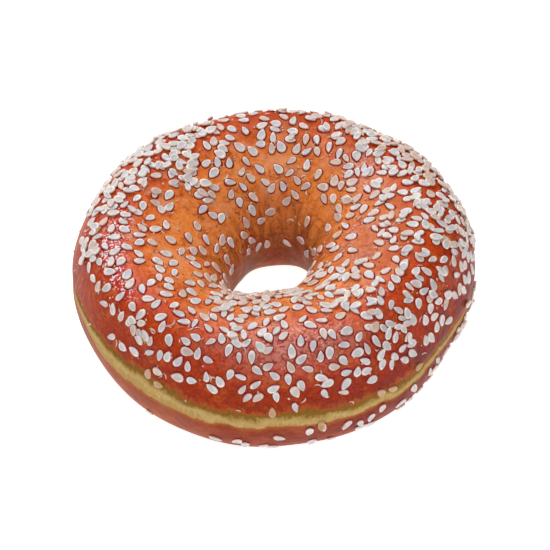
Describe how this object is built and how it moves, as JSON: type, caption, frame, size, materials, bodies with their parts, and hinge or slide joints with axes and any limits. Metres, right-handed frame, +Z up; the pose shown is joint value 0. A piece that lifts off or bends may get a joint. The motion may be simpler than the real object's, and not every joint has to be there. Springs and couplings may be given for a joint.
{
  "type": "pretzel bagel",
  "caption": "Glazed, lye-browned pretzel bagel with a pale stretched band round its side and sesame seeds over the top, resting on its flat base.",
  "frame": {"origin": "middle of the base, on the surface the bagel rests on", "axes": "+Z up through the hole, and -Y towards the side that the main view looks at"},
  "size_m": [0.1078, 0.1028, 0.0414],
  "materials": {
    "crust": "glazed baked crust"
  },
  "bodies": {
    "root": {"bagel": "crust"}
  },
  "joints": []
}
